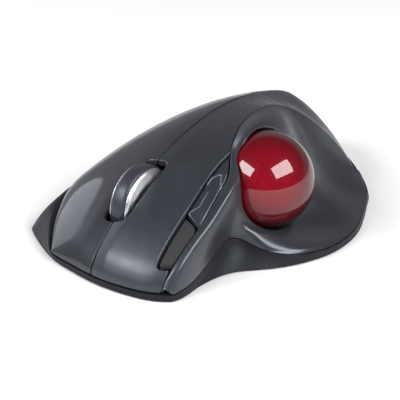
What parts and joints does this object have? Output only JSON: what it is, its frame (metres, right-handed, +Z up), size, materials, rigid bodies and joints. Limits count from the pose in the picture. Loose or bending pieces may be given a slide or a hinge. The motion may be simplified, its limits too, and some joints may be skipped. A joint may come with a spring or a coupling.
{
  "type": "trackball mouse",
  "caption": "Right-handed thumb trackball mouse: ball in a side socket, two main buttons, scroll wheel, thumb buttons and a replaceable cell behind a floor door.",
  "frame": {"origin": "on the table under the middle of the bounding box", "axes": "+X to the right of the user, +Y towards the button end, +Z up"},
  "size_m": [0.0975, 0.1397, 0.0411],
  "materials": {
    "satin_charcoal": "satin moulded",
    "case_black": "fine matt",
    "matt_black": "matt",
    "wheel_rubber": "smooth rubber",
    "bright_ring": "satin chrome",
    "steel": "plain",
    "crimson_ball": "polished, pearlescent",
    "inner_plastic": "moulded",
    "circuit_board": "solder mask",
    "bearing_ceramic": "polished",
    "sensor_lens": "clear",
    "foot_pad": "slippery pad",
    "cell_sleeve": "plain sleeve",
    "switch_white": "moulded"
  },
  "bodies": {
    "base": {"palm_cover": "satin_charcoal", "thumb_panel": "satin_charcoal", "bottom_case": "case_black", "sensor_module": "matt_black", "left_switch_body": "matt_black", "right_switch_body": "matt_black", "middle_switch_body": "matt_black", "side_front_switch_body": "matt_black", "side_rear_switch_body": "matt_black", "usb_receiver_cap": "matt_black", "case_screw_1": "steel", "case_screw_2": "steel", "case_screw_3": "steel", "board_screw_1": "steel", "board_screw_2": "steel", "battery_plate": "steel", "battery_spring": "steel", "usb_receiver_plug": "steel", "power_switch_body": "steel", "ball_cup": "inner_plastic", "battery_tray": "inner_plastic", "main_board": "circuit_board", "sensor_board": "circuit_board", "ball_bearing_1": "bearing_ceramic", "ball_bearing_2": "bearing_ceramic", "ball_bearing_3": "bearing_ceramic", "sensor_lens": "sensor_lens", "foot_pad_1": "foot_pad", "foot_pad_2": "foot_pad", "foot_pad_3": "foot_pad", "foot_pad_4": "foot_pad", "foot_pad_5": "foot_pad", "battery_cell": "cell_sleeve", "ribbon_cable": "cell_sleeve"},
    "left_button": {"left_button": "satin_charcoal"},
    "right_button": {"right_button": "satin_charcoal"},
    "side_front": {"side_button_front": "matt_black"},
    "side_rear": {"side_button_rear": "satin_charcoal"},
    "wheel_carrier": {"wheel_cradle": "inner_plastic", "encoder_body": "matt_black"},
    "wheel": {"wheel_tyre": "wheel_rubber", "wheel_hub": "inner_plastic", "wheel_ring_left": "bright_ring", "wheel_ring_right": "bright_ring", "wheel_axle": "steel", "encoder_rotor": "switch_white"},
    "ball": {"ball": "crimson_ball"},
    "battery_door": {"battery_door": "case_black"},
    "power_slider": {"power_slider": "switch_white"},
    "left_plunger": {"left_switch_plunger": "switch_white"},
    "right_plunger": {"right_switch_plunger": "switch_white"},
    "middle_plunger": {"middle_switch_plunger": "switch_white"},
    "side_front_plunger": {"side_front_switch_plunger": "switch_white"},
    "side_rear_plunger": {"side_rear_switch_plunger": "switch_white"}
  },
  "joints": [
    {"name": "left_press", "type": "hinge", "parent": "base", "child": "left_button", "pos_m": [0.00635, -0.02995, 0.039], "axis": [-1, 0, 0], "range_deg": [0, 0.3], "stiffness_Nm_per_rad": 6, "springref_deg": -0.11},
    {"name": "right_press", "type": "hinge", "parent": "base", "child": "right_button", "pos_m": [0.00635, -0.02995, 0.039], "axis": [-1, 0, 0], "range_deg": [0, 0.3], "stiffness_Nm_per_rad": 6, "springref_deg": -0.11},
    {"name": "wheel_click", "type": "slide", "parent": "base", "child": "wheel_carrier", "axis": [0, 0, -1], "range_m": [0, 0.0005], "stiffness_N_per_m": 1500, "springref_m": -0.0003},
    {"name": "wheel_spin", "type": "hinge", "parent": "wheel_carrier", "child": "wheel", "pos_m": [0.00675, 0.04055, 0.0182], "axis": [-1, 0, 0], "continuous": true},
    {"name": "side_front_press", "type": "slide", "parent": "base", "child": "side_front", "axis": [0, 0, -1], "range_m": [0, 0.0005], "stiffness_N_per_m": 1500, "springref_m": -0.0003},
    {"name": "side_rear_press", "type": "slide", "parent": "base", "child": "side_rear", "axis": [0, 0, -1], "range_m": [0, 0.0005], "stiffness_N_per_m": 1500, "springref_m": -0.0003},
    {"name": "ball_spin", "type": "hinge", "parent": "base", "child": "ball", "pos_m": [-0.02275, 0.00865, 0.0227], "axis": [0, 0, 1], "continuous": true},
    {"name": "door_swing", "type": "hinge", "parent": "base", "child": "battery_door", "pos_m": [0.01905, -0.04155, 0.0008], "axis": [-1, 0, 0], "range_deg": [0, 90]},
    {"name": "power_slide", "type": "slide", "parent": "base", "child": "power_slider", "axis": [1, 0, 0], "range_m": [0, 0.003]},
    {"name": "left_plunge", "type": "slide", "parent": "base", "child": "left_plunger", "axis": [0, 0, -1], "range_m": [0, 0.00045]},
    {"name": "right_plunge", "type": "slide", "parent": "base", "child": "right_plunger", "axis": [0, 0, -1], "range_m": [0, 0.00045]},
    {"name": "middle_plunge", "type": "slide", "parent": "base", "child": "middle_plunger", "axis": [0, 0, -1], "range_m": [0, 0.0005]},
    {"name": "side_front_plunge", "type": "slide", "parent": "base", "child": "side_front_plunger", "axis": [0, 0, -1], "range_m": [0, 0.0005]},
    {"name": "side_rear_plunge", "type": "slide", "parent": "base", "child": "side_rear_plunger", "axis": [0, 0, -1], "range_m": [0, 0.0005]}
  ],
  "couplings": [
    {"joint": "left_plunge", "follows": "left_press", "m_per_rad": 0.076},
    {"joint": "right_plunge", "follows": "right_press", "m_per_rad": 0.0725},
    {"joint": "middle_plunge", "follows": "wheel_click", "ratio": 1},
    {"joint": "side_front_plunge", "follows": "side_front_press", "ratio": 1},
    {"joint": "side_rear_plunge", "follows": "side_rear_press", "ratio": 1}
  ]
}
